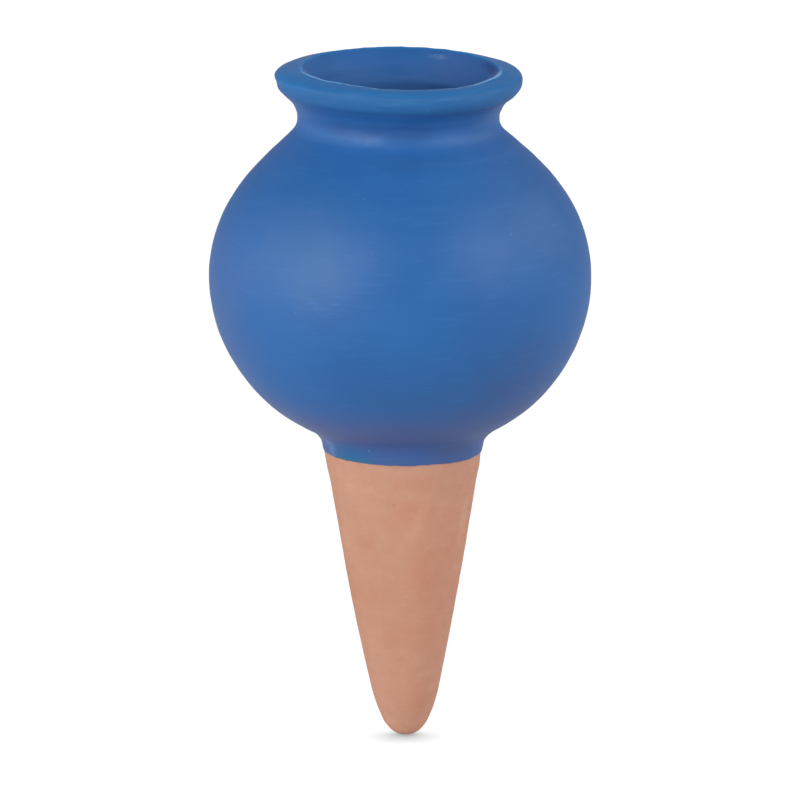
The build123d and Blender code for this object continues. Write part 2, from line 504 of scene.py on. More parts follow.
# %% The wheel and its named inputs
wheel = bpy.data.node_groups.new("potters_wheel", "GeometryNodeTree")
wheel.interface.new_socket("Section", in_out="INPUT", socket_type="NodeSocketGeometry")
wheel_inputs = {
    "Steps Around": ("NodeSocketInt", 240),
    "Wobble": ("NodeSocketFloat", 0.16 * MM),
    "Wobble Width": ("NodeSocketFloat", 28 * MM),
    "Finger Marks": ("NodeSocketFloat", 0.035 * MM),
    "Finger Width": ("NodeSocketFloat", 6 * MM),
    "Throwing Rings": ("NodeSocketFloat", 0.022 * MM),
    "Ring Width": ("NodeSocketFloat", 2.6 * MM),
    "Shaved Facets": ("NodeSocketFloat", 0.0),
    "Facet Width": ("NodeSocketFloat", 7 * MM),
    "Lip Tilt Left": ("NodeSocketFloat", math.tan(math.radians(1.04))),
    "Lip Tilt Back": ("NodeSocketFloat", math.tan(math.radians(1.0))),
    "Lip Twist": ("NodeSocketFloat", 0.34),
    "Crest Raggedness": ("NodeSocketFloat", 0.13 * MM),
    "Crest Ragged Width": ("NodeSocketFloat", 4 * MM),
    "Paint Edge Tilt": ("NodeSocketFloat", 0.0084),
    "Paint Edge Wander": ("NodeSocketFloat", 0.3 * MM),
    "Paint Edge Width": ("NodeSocketFloat", 9 * MM),
    "Paint Edge Tears": ("NodeSocketFloat", 0.07 * MM),
    "Tear Width": ("NodeSocketFloat", 1.6 * MM),
    "Material": ("NodeSocketMaterial", None),
}
for name, (kind, value) in wheel_inputs.items():
    socket_item = wheel.interface.new_socket(name, in_out="INPUT", socket_type=kind)
    if value is not None:
        socket_item.default_value = value
wheel.interface.new_socket("Piece", in_out="OUTPUT", socket_type="NodeSocketGeometry")
given = add_node(wheel, "NodeGroupInput").outputs
turned = add_node(wheel, "NodeGroupOutput")
print(f"potter's wheel: {len(wheel_inputs)} named inputs")

# %% A grid with a row for each ring and a column for each step
section_size = add_node(wheel, "GeometryNodeAttributeDomainSize", {"Geometry": given["Section"]})
rings = section_size.outputs["Point Count"]
last_ring = add_node(wheel, "ShaderNodeMath", {0: rings, 1: 1.0}, operation="SUBTRACT")
columns = add_node(wheel, "ShaderNodeMath", {0: given["Steps Around"], 1: 1.0}, operation="ADD")
grid = add_node(wheel, "GeometryNodeMeshGrid", {
    "Size X": 1.0, "Size Y": 1.0, "Vertices X": columns, "Vertices Y": rings,
})
grid_place = add_node(wheel, "ShaderNodeSeparateXYZ", {0: add_node(wheel, "GeometryNodeInputPosition")})
turn = add_node(wheel, "ShaderNodeMath", {
    0: grid_place.outputs["X"], 1: math.tau, 2: math.pi,
}, operation="MULTIPLY_ADD")
row_share = add_node(wheel, "ShaderNodeMath", {0: grid_place.outputs["Y"], 1: 0.5}, operation="ADD")
row = add_node(wheel, "ShaderNodeMath", {0: row_share, 1: last_ring}, operation="MULTIPLY")
ring = add_node(wheel, "ShaderNodeMath", {0: row}, operation="ROUND")
print(f"{len(wheel.nodes)} nodes lay out the grid")

# %% Each row takes its ring's marks, and then its place round the axis
weld_distance = 0.002 * MM                # closes the seam and the tip
marked = grid.outputs["Mesh"]
for mark in mark_names:
    on_section = add_node(wheel, "GeometryNodeInputNamedAttribute", {"Name": mark}, data_type="FLOAT")
    of_ring = add_node(wheel, "GeometryNodeSampleIndex", {
        "Geometry": given["Section"], "Value": on_section, "Index": ring,
    }, data_type="FLOAT", domain="POINT")
    marked = add_node(wheel, "GeometryNodeStoreNamedAttribute", {
        "Geometry": marked, "Name": mark, "Value": of_ring,
    }, data_type="FLOAT", domain="POINT").outputs["Geometry"]

ring_place = add_node(wheel, "GeometryNodeSampleIndex", {
    "Geometry": given["Section"], "Value": add_node(wheel, "GeometryNodeInputPosition"), "Index": ring,
}, data_type="FLOAT_VECTOR", domain="POINT")
spun = add_node(wheel, "ShaderNodeVectorRotate", {
    "Vector": ring_place, "Angle": turn,
}, rotation_type="Z_AXIS")
spread = add_node(wheel, "GeometryNodeSetPosition", {"Geometry": marked, "Position": spun})
closed = add_node(wheel, "GeometryNodeMergeByDistance", {"Geometry": spread, "Distance": weld_distance})
print(f"{len(wheel.nodes)} nodes turn a plain piece")

# %% [markdown]
# ## Marks that the wheel and the fingers leave
# A turned wall is never smooth: it wobbles a little, shows faint throwing rings and the press of fingers,
# and the spike was shaved along its length. A Displace modifier with an image could do it.
# Noises inside the tree do it at real widths, and the coat of paint gets the very same push as its clay.

# %% Wobble and finger marks push the wall in and out
noise_low, noise_high = 0.25, 0.75        # nearly all of a noise lies between these
place = add_node(wheel, "GeometryNodeInputPosition")
level_place = add_node(wheel, "ShaderNodeVectorMath", {0: place, 1: (1, 1, 0)}, operation="MULTIPLY")
outward = add_node(wheel, "ShaderNodeVectorMath", {0: level_place}, operation="NORMALIZE")
drift, swell, tilt_share, crest_share, lip_share, edge_share = [
    add_node(wheel, "GeometryNodeInputNamedAttribute", {"Name": mark}, data_type="FLOAT")
    for mark in ("drift", "swell", "tilt", "crest", "lip", "paint_edge")
]


def wander(width, amount, shift, stretch=(1, 1, 1)):
    """Noise of a width given by a socket, between minus and plus an amount; its shift sets it apart."""
    scale = add_node(wheel, "ShaderNodeMath", {0: 1.0, 1: width}, operation="DIVIDE")
    moved = add_node(wheel, "ShaderNodeVectorMath", {
        0: place, 1: stretch, 2: shift,
    }, operation="MULTIPLY_ADD")
    noise = add_node(wheel, "ShaderNodeTexNoise", {"Vector": moved, "Scale": scale, "Detail": 1.0})
    return add_node(wheel, "ShaderNodeMapRange", {
        "Value": noise, "From Min": noise_low, "From Max": noise_high,
        "To Min": add_node(wheel, "ShaderNodeMath", {0: amount, 1: -1.0}, operation="MULTIPLY"),
        "To Max": amount,
    })


wobble = wander(given["Wobble Width"], given["Wobble"], (0.3, 0.1, 0.7))
fingers = wander(given["Finger Width"], given["Finger Marks"], (0.9, 0.4, 0.2))
round_the_wheel = (0.07, 0.07, 1.0)       # a ring varies slowly round the pot and fast up its wall
throwing = wander(given["Ring Width"], given["Throwing Rings"], (0.5, 0.3, 0.8), round_the_wheel)
along_the_spike = (1.0, 1.0, 0.12)        # a shaved facet runs up the spike
facets = wander(given["Facet Width"], given["Shaved Facets"], (0.1, 0.6, 0.4), along_the_spike)
wall_marks = (wobble, fingers, throwing, facets)
push = swell
for mark in wall_marks:
    push = add_node(wheel, "ShaderNodeMath", {0: push, 1: mark}, operation="ADD")
print(f"{len(wall_marks)} noises push the wall in and out")

# %% Pinches and dips of the lip that the photograph shows
def facing_share(facing, spread_angle, most=1.0):
    """Share of a mark that faces one way and fades over a spread, in degrees: 0 is right and 90 is back."""
    heading = (math.cos(math.radians(facing)), math.sin(math.radians(facing)), 0)
    toward = add_node(wheel, "ShaderNodeVectorMath", {0: outward, 1: heading}, operation="DOT_PRODUCT")
    return add_node(wheel, "ShaderNodeMapRange", {
        "Value": toward.outputs["Value"], "From Min": math.cos(math.radians(spread_angle)), "From Max": 1.0,
        "To Max": most,
    }, interpolation_type="SMOOTHSTEP")


# What is pressed, its facing and spread in degrees, then push outward and lift in millimetres
lip_marks = [
    (lip_share, 180, 45, 0.30, -0.60),
    (lip_share, 184, 16, 0.09, 0.0),
    (lip_share, 54, 26, 0.0, -0.28),
    (lip_share, 138, 26, 0.0, -0.26),
    (crest_share, 180, 45, 0.0, 0.05),
    (crest_share, 172, 32, -0.95, 0.0),
    (crest_share, 208, 42, 0.55, -0.10),
    (crest_share, 275, 62, 0.0, -0.80),
    (crest_share, 335, 42, 0.55, -0.20),
    (crest_share, 241, 17, 0.0, 0.35),
    (crest_share, 86, 40, 0.0, 0.15),
]
lift = 0.0
for share, facing, spread_angle, out, up in lip_marks:
    near = facing_share(facing, spread_angle)
    pressed = add_node(wheel, "ShaderNodeMath", {0: near, 1: share}, operation="MULTIPLY")
    push = add_node(wheel, "ShaderNodeMath", {0: pressed, 1: out * MM, 2: push}, operation="MULTIPLY_ADD")
    lift = add_node(wheel, "ShaderNodeMath", {0: pressed, 1: up * MM, 2: lift}, operation="MULTIPLY_ADD")
print(f"{len(lip_marks)} pinches and dips of the lip and its crest")

# %% Ragged crest, wandering paint edge and tilted lip move the wall up and down
ragged = wander(given["Crest Ragged Width"], given["Crest Raggedness"], (0.2, 0.8, 0.5))
place_parts = add_node(wheel, "ShaderNodeSeparateXYZ", {0: place}).outputs
leftward = add_node(wheel, "ShaderNodeMath", {0: place_parts["X"], 1: -1.0}, operation="MULTIPLY")
edge_wander = wander(given["Paint Edge Width"], given["Paint Edge Wander"], (0.6, 0.2, 0.9))
edge_tears = wander(given["Tear Width"], given["Paint Edge Tears"], (0.4, 0.7, 0.3))
edge_wander = add_node(wheel, "ShaderNodeMath", {0: edge_wander, 1: edge_tears}, operation="ADD")
edge_rises = [(180, 50, 0.55), (0, 35, 0.45)]  # facing and spread in degrees, rise in millimetres
for facing, spread_angle, rise in edge_rises:
    risen = facing_share(facing, spread_angle, rise * MM)
    edge_wander = add_node(wheel, "ShaderNodeMath", {0: edge_wander, 1: risen}, operation="ADD")
edge_lift = add_node(wheel, "ShaderNodeMath", {
    0: leftward, 1: given["Paint Edge Tilt"], 2: edge_wander,
}, operation="MULTIPLY_ADD")
twist = add_node(wheel, "ShaderNodeMath", {0: place_parts["X"], 1: given["Lip Twist"]}, operation="MULTIPLY")
back_rise = add_node(wheel, "ShaderNodeMath", {0: twist, 1: given["Lip Tilt Back"]}, operation="ADD")
back_lift = add_node(wheel, "ShaderNodeMath", {0: back_rise, 1: place_parts["Y"]}, operation="MULTIPLY")
tilt_lift = add_node(wheel, "ShaderNodeMath", {
    0: leftward, 1: given["Lip Tilt Left"], 2: back_lift,
}, operation="MULTIPLY_ADD")
for rise, share in ((ragged, crest_share), (edge_lift, edge_share), (tilt_lift, tilt_share)):
    lift = add_node(wheel, "ShaderNodeMath", {0: rise, 1: share, 2: lift}, operation="MULTIPLY_ADD")
print(f"the paint's edge rises in {len(edge_rises)} places")

# %% All marks together, smooth faces, and the material
crisp_angle = math.radians(38)            # a sharper edge than this stays an edge
push_vector = add_node(wheel, "ShaderNodeVectorMath", {0: outward, "Scale": push}, operation="SCALE")
shift_vector = add_node(wheel, "ShaderNodeCombineXYZ", {"X": drift, "Z": lift})
offset = add_node(wheel, "ShaderNodeVectorMath", {0: push_vector, 1: shift_vector}, operation="ADD")
marked_piece = add_node(wheel, "GeometryNodeSetPosition", {"Geometry": closed, "Offset": offset})
outer_side = add_node(wheel, "GeometryNodeFlipFaces", {"Mesh": marked_piece})
smooth = add_node(wheel, "GeometryNodeSetShadeSmooth", {"Geometry": outer_side, "Shade Smooth": True})
edge_angle = add_node(wheel, "GeometryNodeInputMeshEdgeAngle")
is_corner = add_node(wheel, "FunctionNodeCompare", {
    0: edge_angle.outputs["Unsigned Angle"], 1: crisp_angle,
}, data_type="FLOAT", operation="GREATER_THAN")
crisp = add_node(wheel, "GeometryNodeSetShadeSmooth", {
    "Geometry": smooth, "Selection": is_corner, "Shade Smooth": False,
}, domain="EDGE")
realized = add_node(wheel, "GeometryNodeRealizeInstances", {"Geometry": crisp})
finished = add_node(wheel, "GeometryNodeSetMaterial", {"Geometry": realized, "Material": given["Material"]})
wheel.links.new(finished.outputs["Geometry"], turned.inputs["Piece"])
print(f"potter's wheel: {len(wheel.nodes)} nodes")

# %% [markdown]
# ## Terracotta
# Terracotta is fired clay, left bare: matt, porous and never of one colour. It is lighter where fine clay was
# wiped over it and redder where it was rubbed, with grit, grains of grog and the streaks of a damp sponge.
# A picture of clay would need an unwrapped surface and would repeat. The patterns here are noises in the
# object's own millimetres, so they sit still on the clay and run on over the tip.

# %% Colours from hex values, and a material to start from
def linear(hex_colour):
    """Linear colour from an sRGB hex value."""
    parts = [int(hex_colour[place:place + 2], 16) / 255 for place in (1, 3, 5)]
    return (*[part / 12.92 if part <= 0.04045 else ((part + 0.055) / 1.055)**2.4 for part in parts], 1.0)


def new_material(name):
    """A material with its node tree and its shader."""
    material = bpy.data.materials.new(name)
    material.use_nodes = True
    return material, material.node_tree, material.node_tree.nodes["Principled BSDF"]


def in_millimetres(tree):
    """Object coordinates in millimetres."""
    coordinates = add_node(tree, "ShaderNodeTexCoord").outputs["Object"]
    return add_node(tree, "ShaderNodeVectorMath", {0: coordinates, "Scale": 1 / MM}, operation="SCALE")


print("middle grey in linear light:", [round(part, 3) for part in linear("#808080")[:3]])

# %% Spots that the hand left in one place
broad_mark = 10.0                         # millimetres of half width, past which a mark fades softly
full_in_spot = 0.9                        # a mark has its full tone where a spot's pattern is this strong


def torn(tree, noise, tear):
    """Factor round 1 that lets the edge of a spot go in and out with a noise."""
    return add_node(tree, "ShaderNodeMapRange", {
        "Value": noise, "From Min": 0.3, "From Max": 0.7, "To Min": 1 - tear, "To Max": 1 + tear,
    })


def spot(tree, in_mm, edge, around, height, half_width, half_height, tilt=0.0, wall=outside):
    """Pattern of a spot on the wall, so many degrees right of the front: 1 in its middle, 0 past its edge."""
    turn = math.radians(around)
    radius = np.interp(height, wall[:, 1], wall[:, 0])
    local = add_node(tree, "ShaderNodeMapping", {
        "Vector": in_mm,
        "Location": (radius * math.sin(turn), -radius * math.cos(turn), height),
        "Rotation": (math.radians(tilt), 0, turn - math.pi / 2),
        "Scale": (max(half_width, half_height), half_width, half_height),
    }, vector_type="TEXTURE")
    ball = add_node(tree, "ShaderNodeTexGradient", {"Vector": local}, gradient_type="SPHERICAL")
    return add_node(tree, "ShaderNodeMath", {0: ball.outputs["Fac"], 1: edge}, operation="MULTIPLY")


def marks_on(tree, in_mm, edges, marks, wall=outside):
    """Layers of colour for a list of marks: a broad mark fades softly and a small one has a torn edge."""
    soft_edge, torn_edge = edges
    layers = []
    for tone, most, around, height, half_width, half_height, *tilt in marks:
        edge = soft_edge if half_width > broad_mark else torn_edge
        pattern = spot(tree, in_mm, edge, around, height, half_width, half_height, *tilt, wall=wall)
        layers.append((tone, pattern, 0.0, full_in_spot, most))
    return layers


# %% Tones laid over each other
def laid_over(tree, colour, layers):
    """Colour with more tones over it, each where its pattern goes from a start to a full value."""
    for tone, pattern, start, full, most in layers:
        share = add_node(tree, "ShaderNodeMapRange", {
            "Value": pattern, "From Min": start, "From Max": full, "To Max": most,
        }, interpolation_type="SMOOTHSTEP")
        colour = add_node(tree, "ShaderNodeMix", {
            0: share, 6: colour, 7: linear(tone),
        }, data_type="RGBA").outputs[2]
    return colour


# %% Fired clay: tones, wipes, grit and grog
blotch_width, mottle_width = 11.0, 3.2    # millimetres, of uneven firing and of clay that was mixed by hand
wipe_width, wipe_stretch = 1.3, 0.13      # a sponge's streak is narrow up the wall and long round it
grain_width = 0.45                        # real grit is nearer to 0.15 mm: drawn coarser, to show
grog_spacing, tear_width = 3.2, 1.8


def fired_clay(name, body, rubbed, wash, marks=()):
    """A dull, chalky clay of three tones, with marks in places of its own."""
    material, tree, shader = new_material(name)
    in_mm = in_millimetres(tree)
    round_wall = add_node(tree, "ShaderNodeMapping", {
        "Vector": in_mm, "Scale": (wipe_stretch, wipe_stretch, 1.0),
    })
    blotch, mottle, wipes, grain, tears = [
        add_node(tree, "ShaderNodeTexNoise", {"Vector": vector, "Scale": 1 / width, "Detail": detail})
        for vector, width, detail in (
            (in_mm, blotch_width, 4.0),
            (in_mm, mottle_width, 2.0),
            (round_wall, wipe_width, 4.0),
            (in_mm, grain_width, 3.0),
            (in_mm, tear_width, 4.0),
        )
    ]
    grog = add_node(tree, "ShaderNodeTexVoronoi", {"Vector": in_mm, "Scale": 1 / grog_spacing})
    edges = [torn(tree, noise, 0.5) for noise in (blotch, tears)]
    colour = laid_over(tree, linear(body), [
        (rubbed, blotch, 0.50, 0.75, 0.35),
        (rubbed, mottle, 0.52, 0.72, 0.30),
        (wash, mottle, 0.46, 0.28, 0.25),
        (wash, wipes, 0.54, 0.78, 0.26),
        (rubbed, wipes, 0.45, 0.22, 0.22),
        (wash, grain, 0.55, 0.80, 0.20),
        (rubbed, grain, 0.45, 0.20, 0.22),
        ("#9A6A58", grog, 0.07, 0.03, 0.30),
    ] + marks_on(tree, in_mm, edges, marks))
    tree.links.new(colour, shader.inputs["Base Color"])
    fine = add_node(tree, "ShaderNodeBump", {"Strength": 0.5, "Distance": 0.04 * MM, "Height": grain})
    wiped = add_node(tree, "ShaderNodeBump", {
        "Strength": 0.5, "Distance": 0.05 * MM, "Height": wipes, "Normal": fine,
    })
    tree.links.new(wiped.outputs[0], shader.inputs["Normal"])
    shader.inputs["Roughness"].default_value = 0.92  # open pores scatter nearly all of the light
    shader.inputs["Specular IOR Level"].default_value = 0.2
    print(f"{name}: {len(tree.nodes)} nodes, {len(marks)} marks in places of their own")
    return material


# %% [markdown]
# ## Bare spike, clay under the paint, and slip
# All clay of the pot is the same ware. The spike was handled most, so it has marks in places of its own:
# red rubbed patches, pale wipes and a few dark grains; its tip is painted paler against the shade near the
# floor.
# They could be painted into an image; here each one is a soft ball of tone at a place on the wall, with an
# edge that the noises tear.
# The clay inside is a little darker, and the slip in the joints is finer and darker still.

# %% Bare terracotta of the spike, with the marks that the photograph shows
# Tone, most of it, degrees right of the front, height, half width and half height in millimetres, and
# for one of them how many degrees it is tilted
spike_marks_and_shading = [
    ("#C4836C", 0.32, 35, -30, 22, 52),
    ("#B98469", 0.30, -54, -28, 18, 50),
    ("#C07C66", 0.28, 11, -13, 8.0, 5.0),
    ("#C07C66", 0.22, 12, -5.5, 9.0, 4.0),
    ("#D2A187", 0.30, 14, -17.0, 13.0, 2.4, 69),
    ("#BF7B65", 0.28, 22, -29.5, 6.5, 13.0),
    ("#D9AE92", 0.16, -42, -6.0, 7.0, 5.0),
    ("#D8AC94", 0.28, 64, -17.4, 3.4, 10.0),
    ("#C98A72", 0.20, -38, -15.2, 6.0, 2.4),
    # painted light: the tip is paler, lifting it out of the shade near the floor
    ("#D4A087", 0.70, 0, -76, 14.0, 10.0),
    ("#7E5242", 0.40, -5, -11.0, 0.5, 0.5),
    ("#7E5242", 0.40, 26, -29.9, 0.55, 0.5),
    ("#7E5242", 0.35, 18, -35.3, 0.5, 0.4),
    ("#EBCDB8", 0.55, 31, -4.2, 0.6, 0.5),
]
bare_terracotta = fired_clay(
    "bare_fired_terracotta", body="#C5947E", rubbed="#BE856C", wash="#CFA58E", marks=spike_marks_and_shading,
)

# %% Clay under the paint and inside, and the slip in the joints
clay_body = fired_clay("fired_terracotta_body", body="#C28C74", rubbed="#B47861", wash="#CFA088")
slip = fired_clay("fired_clay_slip", body="#BD8870", rubbed="#B07A63", wash="#C79A82")

# %% [markdown]
# ## Blue paint
# The paint is a matt to satin acrylic, put on by brush and sponge on a turning wheel. It gives broad soft
# highlights. It is greener and paler where the lip was brushed once more, and thin over the red clay where
# the globe meets the spike. Shade is painted darker into the groove under the lip, on the shoulder and low on
# the globe, and light is painted paler onto the lip's top, the crest and the globe's edges. One blue with a
# bump would look like moulded plastic, so the tones are laid over each other in the order in which they were
# put on.

# %% Noises of the paint
cloud_width, patch_width = 24.0, 9.0      # millimetres, of a sponge's dabs and of dry places
stroke_width, bristle_width = 1.1, 0.42   # a bristle is nearer to 0.15 mm: drawn coarser, to show
stroke_stretch = 0.12                     # strokes are long round the wall
grain_of_paint, paint_tear = 0.6, 1.6
pit_spacing, dust_spacing = 6.0, 7.4
paint, tree, shader = new_material("matt_blue_acrylic_paint")
in_mm = in_millimetres(tree)
lip_coat, lip_top_painted_light, rim, in_the_mouth = [
    add_node(tree, "ShaderNodeAttribute", attribute_name=mark).outputs["Fac"]
    for mark in ("lip_coat", "lip_top_painted_light", "rim", "mouth")
]
height = add_node(tree, "ShaderNodeSeparateXYZ", {0: in_mm}).outputs["Z"]
along_brush = add_node(tree, "ShaderNodeMapping", {
    "Vector": in_mm, "Scale": (stroke_stretch, stroke_stretch, 1.0),
})
cloud, patches, strokes, hairs, grain, tears = [
    add_node(tree, "ShaderNodeTexNoise", {"Vector": vector, "Scale": 1 / width, "Detail": detail})
    for vector, width, detail in (
        (in_mm, cloud_width, 3.0),
        (in_mm, patch_width, 2.0),
        (along_brush, stroke_width, 4.0),
        (along_brush, bristle_width, 1.0),
        (in_mm, grain_of_paint, 2.0),
        (in_mm, paint_tear, 4.0),
    )
]
pits, dust = [
    add_node(tree, "ShaderNodeTexVoronoi", {"Vector": in_mm, "Scale": 1 / spacing})
    for spacing in (pit_spacing, dust_spacing)
]
soft_edge, torn_edge = torn(tree, patches, 0.35), torn(tree, tears, 0.5)
print(f"{paint.name}: strokes {stroke_width} mm wide, bristle marks {bristle_width} mm")

# %% [markdown]
# ## Where the paint is thin, thick, dry or rubbed, and where its crest has a painted highlight
# Paint tells how it was put on: it thins out towards the spike, ends in a thick edge, drags dry bristles
# over the globe's front and is rubbed off along the crest of the lip, where a painted highlight lies over the
# wear.
# Heights, the rings' own marks and soft balls of tone place these, so no surface has to be unwrapped.

# %% Where the coat is thin, brushed again or rubbed, and the crest's painted highlight
thin_start, thin_full = 24.0, 7.0         # heights in millimetres between which the coat gets thin
thick_start, thick_full = 3.4, 0.6        # and those between which its edge gets thick
thin_below, thick_edge = [
    add_node(tree, "ShaderNodeMapRange", {
        "Value": height, "From Min": start, "From Max": full,
    }, interpolation_type="SMOOTHSTEP")
    for start, full in ((thin_start, thin_full), (thick_start, thick_full))
]
brushed_lip = add_node(tree, "ShaderNodeMath", {0: lip_coat, 1: strokes}, operation="MULTIPLY")
dry_patches = add_node(tree, "ShaderNodeMapRange", {
    "Value": patches, "From Min": 0.48, "From Max": 0.70, "To Max": 0.75,
}, interpolation_type="SMOOTHSTEP")
dry_place = spot(tree, in_mm, soft_edge, around=-21, height=49, half_width=22, half_height=14)
dry_brush = add_node(tree, "ShaderNodeMath", {0: dry_patches, 1: dry_place}, operation="MAXIMUM")
hair_lines = add_node(tree, "ShaderNodeMix", {0: dry_brush, 2: 0.5, 3: hairs})
# Places where the crest is worn pale, with a painted highlight over the wear
worn_and_lit_left, worn_and_lit_right = [
    spot(tree, in_mm, torn_edge, around, height=101.4, half_width=half_width, half_height=7)
    for around, half_width in ((-44, 25), (62, 20))
]
worn_and_lit_places = add_node(tree, "ShaderNodeMath", {0: worn_and_lit_left, 1: worn_and_lit_right}, operation="ADD")
worn_and_lit_rim = add_node(tree, "ShaderNodeMath", {0: rim, 1: worn_and_lit_places}, operation="MULTIPLY")
print(f"the coat is thin below {thin_start:.0f} mm, and its edge thick below {thick_start} mm")

# %% Spots of thin, thick and rubbed paint, and of painted shade and light, that the photograph shows
# Tone, most of it, degrees right of the front, height, half width and half height in millimetres
paint_marks_and_shading = [
    # painted shade: the waist under the overhanging lip is darker
    ("#0F4484", 0.62, -12, 90.2, 36.0, 3.6),
    ("#1C7CC6", 0.34, -72, 101.2, 24.0, 4.0),
    # painted shade: darker under the lip, on the left
    ("#0F528E", 0.26, -44, 97.4, 22.0, 3.4),
    # painted shade: darker in the middle of the waist's foot
    ("#134986", 0.40, 2, 88.6, 14.0, 3.4),
    # painted highlight: a pale patch on the foot of the waist
    ("#86A9CE", 0.10, -17, 87.2, 6.0, 2.2),
    # painted shade: darker on the shoulder below the neck
    ("#134986", 0.35, 2, 82.0, 22.0, 3.4),
    # painted highlight: paler and greyer over the globe's left highlight
    ("#738796", 0.10, -34, 61.0, 24.0, 24.0),
    # painted sheen: paler and more purple along the globe's left edge
    ("#5A5F8E", 0.14, -70, 40.0, 24.0, 42.0),
    # painted shade: darker low on the right of the globe
    ("#303A72", 0.30, 50, 22.0, 28.0, 22.0),
    # painted shade with a purple bounce from the clay: darker where the globe curves in over the collar, on
    # the left
    ("#3A4478", 0.24, -42, 9.0, 20.0, 6.0),
    ("#085C92", 0.86, -36, 1.6, 12.0, 5.0),
    ("#1F6A70", 0.55, -40, 0.5, 9.5, 1.0),
    # painted shade: darker on the right of the collar
    ("#454C6C", 0.35, 42, 3.0, 12.0, 5.0),
    # painted highlight: a pale upright streak on the left of the collar
    ("#7FA3C6", 0.26, -61, 2.6, 3.4, 5.0),
    ("#93AECB", 0.55, -22, 3.9, 0.35, 0.9),
    ("#93AECB", 0.45, -3, 3.1, 0.5, 0.4),
]
mouth_marks_and_shading = [
    ("#8FB0D2", 0.32, 155, 100.6, 3.8, 0.9),
    ("#3F63A8", 0.50, 138, 97.0, 18.0, 11.0),
    # painted light: paler deep in the throat, where the wall lies in shade
    ("#4A78B4", 0.40, 180, 91.5, 24.0, 6.0),
    # painted shadow: dark on the right wall of the mouth, under the crest
    ("#083A80", 0.80, 102, 100.7, 9.9, 1.6),
]
out_of_mouth = add_node(tree, "ShaderNodeMath", {0: 1.0, 1: in_the_mouth}, operation="SUBTRACT")
marked_places = []
for only_here, wall, marks in ((out_of_mouth, outside, paint_marks_and_shading), (in_the_mouth, inside, mouth_marks_and_shading)):
    edges_here = [
        add_node(tree, "ShaderNodeMath", {0: edge, 1: only_here}, operation="MULTIPLY")
        for edge in (soft_edge, torn_edge)
    ]
    marked_places += marks_on(tree, in_mm, edges_here, marks, wall)
print(f"{paint.name}: {len(marked_places)} marks in places of their own")

# %% Layers of colour
tones = [
    ("#1F62A6", cloud, 0.40, 0.65, 0.45),
    ("#2A6AAD", strokes, 0.52, 0.74, 0.28),
    ("#3A78B8", hair_lines, 0.55, 0.75, 0.26),
    ("#134A88", hair_lines, 0.45, 0.25, 0.34),
    ("#165F9B", lip_coat, 0.0, 1.0, 0.90),
    # painted light: the lip's top faces up, away from the soft boxes, and is painted lighter and bluer
    ("#0671B8", lip_top_painted_light, 0.0, 1.0, 0.66),
    ("#3C7DB4", brushed_lip, 0.45, 0.80, 0.30),
    ("#3C5796", thin_below, 0.0, 1.0, 0.68),
    ("#37598F", thick_edge, 0.0, 1.0, 0.55),
    # painted highlight: a lighter, bluer line along the whole crest
    ("#2A88D4", rim, 0.3, 1.0, 0.32),
    # the crest's pale line: partly real wear, partly a painted highlight
    ("#76B2EA", worn_and_lit_rim, 0.18, 0.60, 0.90),
    ("#123E72", pits, 0.05, 0.02, 0.40),
    ("#5A8CC4", dust, 0.06, 0.02, 0.30),
]
colour = laid_over(tree, linear("#155A9D"), tones + marked_places)
tree.links.new(colour, shader.inputs["Base Color"])
print(f"{paint.name}: {len(tones)} tones over the first blue, then the marks")

# %% Gloss and relief of the paint
# Satin acrylic has a roughness of about 0.5, and up to 0.7 where it is dry. Its binder has the default IOR.
# The sheen is the chalky bloom of matt paint, which shows warm along the edges.
gloss = add_node(tree, "ShaderNodeMapRange", {
    "Value": cloud, "From Min": 0.3, "From Max": 0.7, "To Min": 0.50, "To Max": 0.60,
})
dull = add_node(tree, "ShaderNodeMath", {0: in_the_mouth, 1: lip_coat}, operation="ADD")
roughness = add_node(tree, "ShaderNodeMapRange", {"Value": dull, "To Min": gloss, "To Max": 0.68})
tree.links.new(roughness.outputs[0], shader.inputs["Roughness"])
shader.inputs["Specular IOR Level"].default_value = 0.46
shader.inputs["Sheen Weight"].default_value = 0.06
shader.inputs["Sheen Roughness"].default_value = 0.35
shader.inputs["Sheen Tint"].default_value = linear("#F0A890")
fine = add_node(tree, "ShaderNodeBump", {"Strength": 0.4, "Distance": 0.02 * MM, "Height": grain})
brushed = add_node(tree, "ShaderNodeBump", {
    "Strength": 0.5, "Distance": 0.06 * MM, "Height": strokes, "Normal": fine,
})
scored = add_node(tree, "ShaderNodeBump", {
    "Strength": 0.6, "Distance": 0.04 * MM, "Height": hair_lines, "Normal": brushed,
})
tree.links.new(scored.outputs[0], shader.inputs["Normal"])
print(f"{paint.name}: {len(tree.nodes)} nodes")

finishes = {
    "bare_terracotta": bare_terracotta,
    "terracotta_body": clay_body,
    "clay_slip": slip,
    "blue_paint": paint,
}

# %% [markdown]
# ## Turning every piece
# Each section becomes a mesh of loose points that carry their marks, and the wheel turns it into a wall.
# The modifier could stay live, but the CAD frame and the export want plain meshes, so its result is kept and
# the modifier removed. A section that is a loop gets its first point once more, which closes the wall.
# Only the paint has an edge that wanders, and only the spike was shaved.

